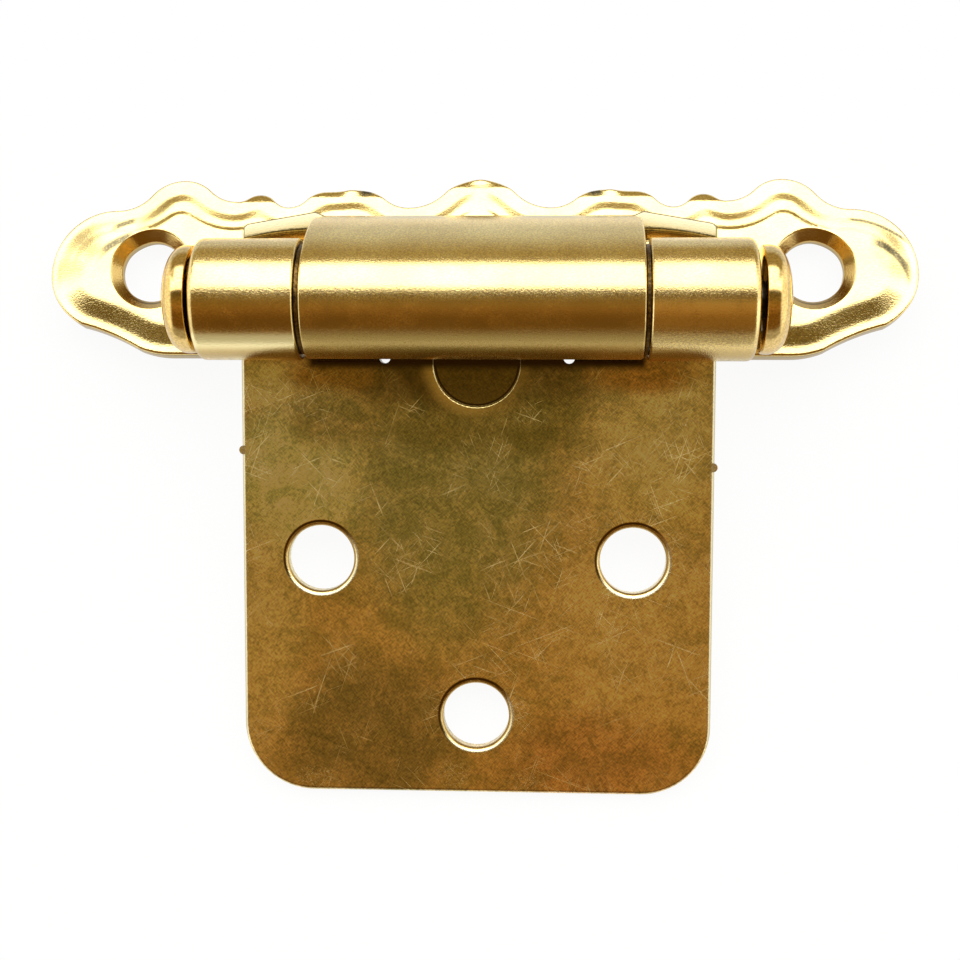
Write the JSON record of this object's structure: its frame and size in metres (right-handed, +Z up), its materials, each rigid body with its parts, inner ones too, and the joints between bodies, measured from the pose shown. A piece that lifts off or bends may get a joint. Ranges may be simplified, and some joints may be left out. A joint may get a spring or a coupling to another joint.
{
  "type": "self-closing cabinet hinge",
  "caption": "Brass-plated self-closing overlay cabinet hinge with a scalloped frame leaf, a barrel with a teardrop centre knuckle and button tips, and a plain door plate.",
  "frame": {"origin": "bottom centre of the hinge's box as it lies on a table with the barrel up", "axes": "+X along the barrel to the right of the picture, +Y from the door leaf to the scalloped frame leaf, +Z up to the camera"},
  "size_m": [0.07, 0.0498, 0.013],
  "materials": {
    "leaf_brass": "polished brass plate, lightly scratched",
    "plate_brass": "satin brass plate, cloudy and scratched",
    "tip_brass": "fine-grained brass plate",
    "pin_steel": "plain drawn",
    "spring_steel": "oil-blackened",
    "cam_plastic": "moulded"
  },
  "bodies": {
    "frame": {"frame_leaf": "leaf_brass", "closing_spring": "spring_steel"},
    "door": {"door_leaf": "plate_brass", "hinge_pin": "pin_steel", "left_bush": "tip_brass", "right_bush": "tip_brass", "cam": "cam_plastic", "left_tip": "tip_brass", "right_tip": "tip_brass"}
  },
  "joints": [
    {"name": "door_swing", "type": "hinge", "parent": "frame", "child": "door", "pos_m": [0, 0.01412, 0.00839], "axis": [-1, 0, 0], "range_deg": [0, 190], "stiffness_Nm_per_rad": 0.03, "springref_deg": -85.94, "deforming": ["closing_spring"]}
  ]
}
